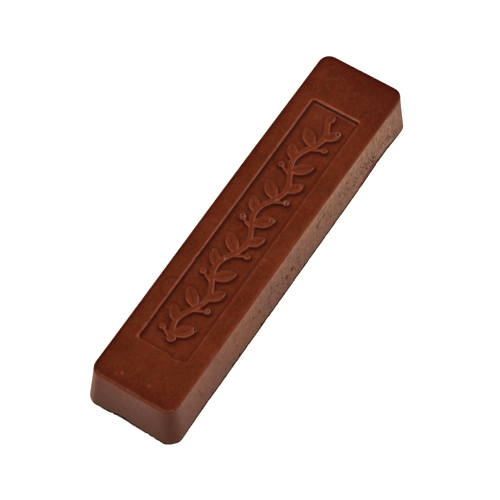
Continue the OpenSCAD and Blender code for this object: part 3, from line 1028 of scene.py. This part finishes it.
def wax_colour(net, at, tone, clouds, mottle, grain):
    """The smooth wax of the top: cloudy, faintly brushed and dusty, with painted shade in creases and painted
    light and highlights on its edges and forms.
    """
    x, y, _ = net.parts(at)
    mixed = net.plus(net.share(grain, 0.36, 0.64), net.share(clouds, 0.3, 0.7, 0.6))
    mixed = net.plus(mixed, net.share(mottle, 0.3, 0.7, 0.7))
    wax = net.blend(net.times(mixed, 0.45), DEEP_WAX, WARM_WAX)
    patches = net.stretched(at, *PATCHES)
    wax = net.blend(net.share(patches, 0.5, 0.7, 0.6), wax, OLIVE_WAX)
    wax = net.blend(net.share(patches, 0.5, 0.3, 0.6), wax, RED_WAX)
    at_far_back = net.times(net.share(x, 32.5, 35), net.share(y, -3, 1))
    brushed = net.share(net.stretched(at, *BRUSHED), 0.52, 0.72)
    brushed = net.times(brushed, net.number(at_far_back, 0.07, 0.3))
    wax = net.blend(brushed, wax, PALE_MARK_AND_HIGHLIGHT_WAX)
    dust = net.share(net.stretched(at, *SCUFFS), 0.62, 0.76)
    dust = net.times(dust, net.share(mottle, 0.45, 0.6))
    wax = net.blend(net.times(dust, 0.35), wax, DUSTY_WAX)
    # Painted shade where the tone is below 0, and painted highlights and pale marks where it is above
    wax = net.blend(net.times(tone, -1), wax, CREASE_SHADE_WAX)
    return net.blend(tone, wax, PALE_MARK_AND_HIGHLIGHT_WAX)


def bloom_and_reflection_colour(net, at, tone, clouds, mottle, grain, streaks):
    """The pale bloom of the walls with its painted reflection, which turns from brown to grey along the bar,
    and a painted highlight where the tone is above 0.
    """
    x, _, _ = net.parts(at)
    hue = net.plus(net.plus(net.plus(streaks, mottle), clouds), net.share(x, -22, -38, 0.1))
    pale = net.blend(net.share(hue, 1.38, 1.62), BLOOM_AND_REFLECTION_WARM, BLOOM_AND_REFLECTION_DULL)
    far_grey = net.times(net.share(x, -30, 30), net.share(mottle, 0.35, 0.65))
    pale = net.blend(far_grey, pale, BLOOM_AND_REFLECTION_GREY)
    pale = net.blend(net.share(net.stretched(at, *UPRIGHTS), 0.5, 0.7, 0.45), pale, WARM_WAX)
    pale = net.blend(net.share(grain, 0.48, 0.62, 0.72), pale, WARM_WAX)
    return net.blend(tone, pale, HIGHLIGHT_ON_BLOOM)


def fine_flaws(net, at, bloom_and_reflection, pits_and_shade):
    """The pits and painted shade, with dark specks and slanting nicks added, both in clusters, and in a band
    of the long walls that gets lower and narrower towards the far end."""
    x, y, z = net.parts(at)
    band_middle = net.number(net.share(x, 18, 40), 6.3, 3.3)
    band_half = net.number(net.share(x, 6, 20), 4, 1.6)
    off_band = net.math("ABSOLUTE", net.math("SUBTRACT", z, band_middle))
    in_band = net.share(net.math("SUBTRACT", off_band, band_half), 1.6, 0)
    in_band = net.times(in_band, net.share(x, 42, 40))

    dots = net.add("TexVoronoi", {
        "Vector": net.add("Mapping", {"Vector": at, "Scale": DOTS_STRETCH}), "Scale": DOTS,
    })
    clusters = net.plus(net.noise(at, *CLUSTERS), net.share(x, -30, 30, 0.08))
    clusters = net.times(net.share(clusters, 0.5, 0.62), in_band)
    specks = net.times(net.share(dots, 0.22, 0.1), net.times(clusters, bloom_and_reflection))
    pits_and_shade = net.math("MAXIMUM", pits_and_shade, net.times(specks, 0.8))

    slant = net.add("VectorMath", {0: at, 1: NICKS_SLANT}, output=1, operation="DOT_PRODUCT")
    slanted = net.add("CombineXYZ", {"X": slant, "Y": y, "Z": z})
    nicks = net.times(net.share(net.noise(slanted, *NICKS), 0.51, 0.62), bloom_and_reflection)
    nicks = net.times(nicks, net.number(net.share(x, 14, 26), 0.3, 1))
    nicks = net.times(nicks, net.share(net.noise(at, *NICK_FIELDS), 0.42, 0.58))
    nicks = net.times(nicks, net.number(net.share(y, 6, -6), 0.4, 1))
    return net.math("MAXIMUM", pits_and_shade, net.times(nicks, in_band))


def wax_roughness(net, at, tone, clouds, mottle, off_the_top):
    smooth_side = net.number(net.share(clouds, 0.3, 0.7), *TOP_ROUGHNESS)
    dull_side = net.number(net.share(mottle, 0.3, 0.7), *WALL_ROUGHNESS)
    smooth_side = net.number(tone, smooth_side, PALE_TONE_ROUGHNESS)
    off_x, off_y, _ = net.parts(net.add("VectorMath", {0: at}, operation="ABSOLUTE"))
    in_length = net.share(off_x, PANEL_HALF_X + 1.2, PANEL_HALF_X + 0.6)
    in_width = net.share(off_y, PANEL_HALF_Y + 1.4, PANEL_HALF_Y + 0.8)
    rough_crease = net.times(net.share(tone, -0.5, -0.64), net.times(in_length, in_width))
    smooth_side = net.number(rough_crease, smooth_side, CREASE_ROUGHNESS)
    return net.number(off_the_top, smooth_side, dull_side)


def wax_material():
    """Red-brown wax: clear and smooth where it met the mould's floor, dulled by bloom on the walls, with
    painted reflection, light and shade in its colour.
    """
    material, net, shader = new_material("red_brown_wax")
    at = {0: net.add("TexCoord", {}, output=3), 1: (1 / MM,) * 3}
    at = net.add("VectorMath", at, operation="MULTIPLY")
    tone, gloss, bloom_and_reflection, pits_and_shade = map(net.attribute, ("tone", "gloss", "bloom_and_reflection", "pits_and_shade"))
    clouds, mottle, grain = (net.noise(at, *pattern) for pattern in (CLOUDS, MOTTLE, GRAIN))
    streaks = net.stretched(at, *STREAKS)

    wax = wax_colour(net, at, tone, clouds, mottle, grain)
    pale = bloom_and_reflection_colour(net, at, tone, clouds, mottle, grain, streaks)
    patchy = net.times(bloom_and_reflection, net.number(net.share(mottle, 0.3, 0.55), 0.6, 1))
    pits_and_shade = fine_flaws(net, at, bloom_and_reflection, pits_and_shade)
    off_the_top = net.share(net.math("MAXIMUM", bloom_and_reflection, pits_and_shade), 0, 0.3)
    fine = net.times(grain, net.number(bloom_and_reflection, *GRAIN_HEIGHT))
    soft = net.times(mottle, net.number(bloom_and_reflection, *MOTTLE_HEIGHT))
    lines = net.times(streaks, net.number(bloom_and_reflection, *STREAKS_HEIGHT))
    height = net.plus(net.plus(fine, soft), lines)
    bumps = net.add("Bump", {"Height": height, "Distance": MM, "Strength": 1})
    net.fill(shader, {
        "Base Color": net.blend(pits_and_shade, net.blend(patchy, wax, pale), PIT_AND_SHADE_WAX),
        "Roughness": wax_roughness(net, at, tone, clouds, mottle, off_the_top),
        "Normal": bumps, "Coat Normal": bumps, "Coat Weight": gloss, "Coat Roughness": BUBBLE_ROUGHNESS,
        "IOR": WAX_IOR, "Specular IOR Level": WAX_SPECULAR,
    })
    return material


LIGHT_COLOUR = (1, 0.94, 0.85)
FLOOR_COLOUR = (0.12, 0.12, 0.12, 1)
FLOOR_SIZE = 8
# The table's own glow, which grows from one value to the other towards the bar's far right
FLOOR_GLOW = 1.2, 1.5
FLOOR_GLOW_RUN = -50 * MM, 50 * MM
FAR_RIGHT = (0.7, -0.7, 0)


def pale_floor():
    material, net, shader = new_material("pale_floor")
    at = net.add("TexCoord", {}, output=3)
    along = net.add("VectorMath", {0: at, 1: FAR_RIGHT}, output=1, operation="DOT_PRODUCT")
    net.fill(shader, {
        "Emission Strength": net.number(net.share(along, *FLOOR_GLOW_RUN), *FLOOR_GLOW),
        "Emission Color": (*LIGHT_COLOUR, 1), "Base Color": FLOOR_COLOUR, "Roughness": 1,
        "Specular IOR Level": 0,
    })
    bpy.ops.mesh.primitive_plane_add(size=FLOOR_SIZE)
    floor = bpy.context.object
    floor.name = "floor"
    floor.data.materials.append(material)


# Softboxes, each (name, azimuth and elevation in degrees, distance, width and height in metres, radiance,
# whether the wax mirrors it)
SOFTBOXES = [
    ("key", 60, 30, 1.2, 1.2, 0.8, 4.7, False),
    ("right_fill", -38, 52, 1.2, 0.36, 0.36, 13, True),
    ("left_fill", 130, 60, 1.2, 0.32, 0.32, 10, True),
]
# Glow of the surroundings, low down and high up, and the sines of the elevations between which it fades
GLOW, GLOW_FADE = (0.25, 0.15), (0.25, 0.75)


def direction(azimuth, elevation):
    level_share = math.cos(elevation)
    return Vector((level_share * math.cos(azimuth), level_share * math.sin(azimuth), math.sin(elevation)))


def softbox(name, azimuth, elevation, distance, width, height, radiance, mirrored):
    data = bpy.data.lights.new(name, "AREA")
    data.shape, data.size, data.size_y = "RECTANGLE", width, height
    data.energy = radiance * math.pi * width * height
    data.color = LIGHT_COLOUR
    light = new_object(name, data)
    away = direction(math.radians(azimuth), math.radians(elevation))
    light.location = away * distance
    light.rotation_euler = away.to_track_quat("Z", "Y").to_euler()
    light.visible_glossy = mirrored


def studio():
    world = bpy.data.worlds.new("studio")
    world.use_nodes = True
    net = Nodes(world.node_tree)
    background = world.node_tree.nodes["Background"]
    _, _, up = net.parts(net.add("TexCoord", {}, output=0))
    glow = net.number(net.share(up, *GLOW_FADE), *GLOW)
    net.fill(background, {"Strength": glow, "Color": (*LIGHT_COLOUR, 1)})
    bpy.context.scene.world = world
    bpy.context.scene.view_settings.view_transform = "Standard"
    for box in SOFTBOXES:
        softbox(*box)


# The camera, as fitted to the bar's outline in the photograph
CAMERA_LENS, CAMERA_SENSOR = 175.1, 36
CAMERA_AIM, CAMERA_DISTANCE = Vector((-4.53, -2.56, HEIGHT)), 484.8
CAMERA_AZIMUTH, CAMERA_ELEVATION, CAMERA_ROLL = map(math.radians, (-147.14, 60.494, -0.568))
CAMERA_CLIP = 0.01, 20


def add_camera():
    data = bpy.data.cameras.new("camera")
    data.lens, data.sensor_width = CAMERA_LENS, CAMERA_SENSOR
    data.clip_start, data.clip_end = CAMERA_CLIP
    back = direction(CAMERA_AZIMUTH, CAMERA_ELEVATION)
    level_right = Vector((0, 0, 1)).cross(back).normalized()
    level_up = back.cross(level_right)
    right = level_right * math.cos(CAMERA_ROLL) + level_up * math.sin(CAMERA_ROLL)
    turned = Matrix((right, back.cross(right), back)).transposed().to_4x4()
    camera = new_object("camera", data)
    camera.matrix_world = Matrix.Translation((CAMERA_AIM + back * CAMERA_DISTANCE) * MM) @ turned
    bpy.context.scene.camera = camera


bar = wax_skin()
bar.data.materials.append(wax_material())
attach(bar, "root")
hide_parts("wax_bar")

pale_floor()
studio()
add_camera()

bpy.context.view_layer.update()
